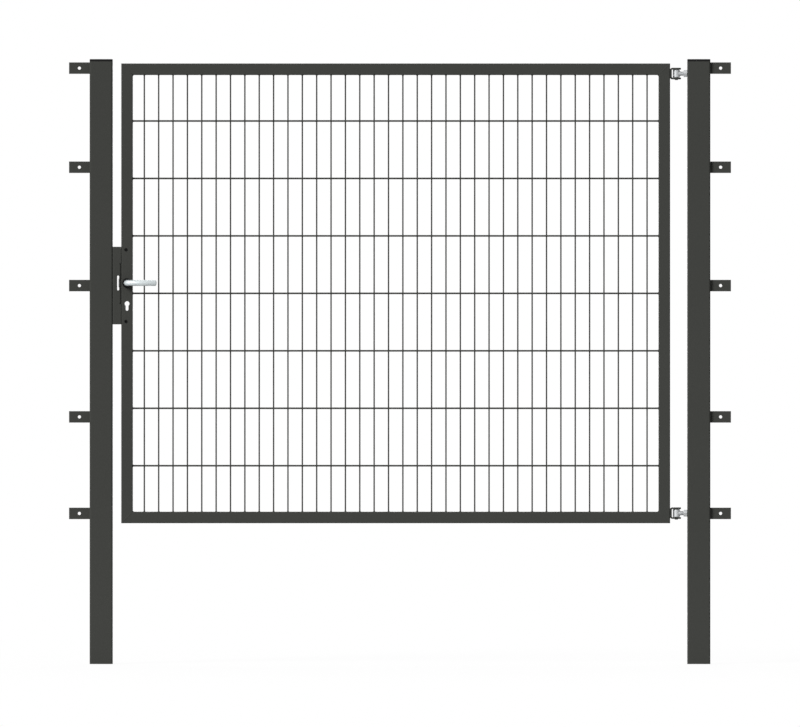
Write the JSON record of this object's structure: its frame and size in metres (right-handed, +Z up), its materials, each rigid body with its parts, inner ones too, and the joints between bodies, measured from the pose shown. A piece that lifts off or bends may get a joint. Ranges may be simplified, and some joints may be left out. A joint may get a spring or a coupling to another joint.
{
  "type": "single fence gate",
  "caption": "Single swing gate of mitred square tube and double-rod mesh, hung on eye bolts between two posts, with a lever lock and a folded keep.",
  "frame": {"origin": "midway between the posts, on their centre plane, at the level of their feet", "axes": "+X from the lock post to the hinge post, +Y away from the viewer, +Z up"},
  "size_m": [2.304, 0.15, 2.105],
  "materials": {
    "powder_coat": "dark grey powder coat on galvanised steel",
    "black_plastic": "moulded, matt",
    "bright_zinc": "zinc plated steel",
    "stainless": "brushed stainless steel",
    "black_steel": "blackened steel",
    "cast_alloy": "die cast",
    "satin_aluminium": "satin anodised",
    "black_rubber": "matt"
  },
  "bodies": {
    "posts": {"lock_post": "powder_coat", "hinge_post": "powder_coat", "lock_post_cap": "black_plastic", "hinge_post_cap": "black_plastic", "lock_tab_1": "powder_coat", "lock_tab_2": "powder_coat", "lock_tab_3": "powder_coat", "lock_tab_4": "powder_coat", "lock_tab_5": "powder_coat", "hinge_tab_1": "powder_coat", "hinge_tab_2": "powder_coat", "hinge_tab_3": "powder_coat", "hinge_tab_4": "powder_coat", "hinge_tab_5": "powder_coat", "keep": "powder_coat", "keep_screws": "stainless", "stop_pads": "black_rubber", "upper_eye_bolt": "bright_zinc", "lower_eye_bolt": "bright_zinc", "lock_nuts": "bright_zinc", "weld_nuts": "bright_zinc"},
    "leaf": {"lock_stile": "powder_coat", "hinge_stile": "powder_coat", "top_rail": "powder_coat", "bottom_rail": "powder_coat", "upright_rods": "powder_coat", "front_rods": "powder_coat", "rear_rods": "powder_coat", "upper_bracket": "powder_coat", "lower_bracket": "powder_coat", "upper_pin": "black_steel", "lower_pin": "black_steel", "lock_case": "cast_alloy", "lock_cover": "cast_alloy", "lock_faceplate": "stainless", "faceplate_screws": "stainless", "case_screws": "black_steel", "front_rose": "black_plastic", "rear_rose": "black_plastic", "latch_spring": "bright_zinc"},
    "handle": {"front_lever": "satin_aluminium", "rear_lever": "satin_aluminium", "spindle": "bright_zinc", "follower": "bright_zinc", "grub_screws": "stainless"},
    "latch": {"latch_bolt": "bright_zinc"},
    "bolt": {"dead_bolt": "bright_zinc"}
  },
  "joints": [
    {"name": "leaf_swing", "type": "hinge", "parent": "posts", "child": "leaf", "pos_m": [0.962, 0, 0.525], "axis": [0, 0, 1], "range_deg": [0, 100]},
    {"name": "handle_turn", "type": "hinge", "parent": "leaf", "child": "handle", "pos_m": [-0.95, 0, 1.326], "axis": [0, 1, 0], "range_deg": [0, 45], "stiffness_Nm_per_rad": 1, "springref_deg": -28.65},
    {"name": "latch_slide", "type": "slide", "parent": "leaf", "child": "latch", "axis": [1, 0, 0], "range_m": [0, 0.009], "deforming": ["latch_spring"]},
    {"name": "bolt_slide", "type": "slide", "parent": "leaf", "child": "bolt", "axis": [-1, 0, 0], "range_m": [0, 0.02]}
  ],
  "couplings": [
    {"joint": "latch_slide", "follows": "handle_turn", "m_per_rad": 0.011459}
  ]
}
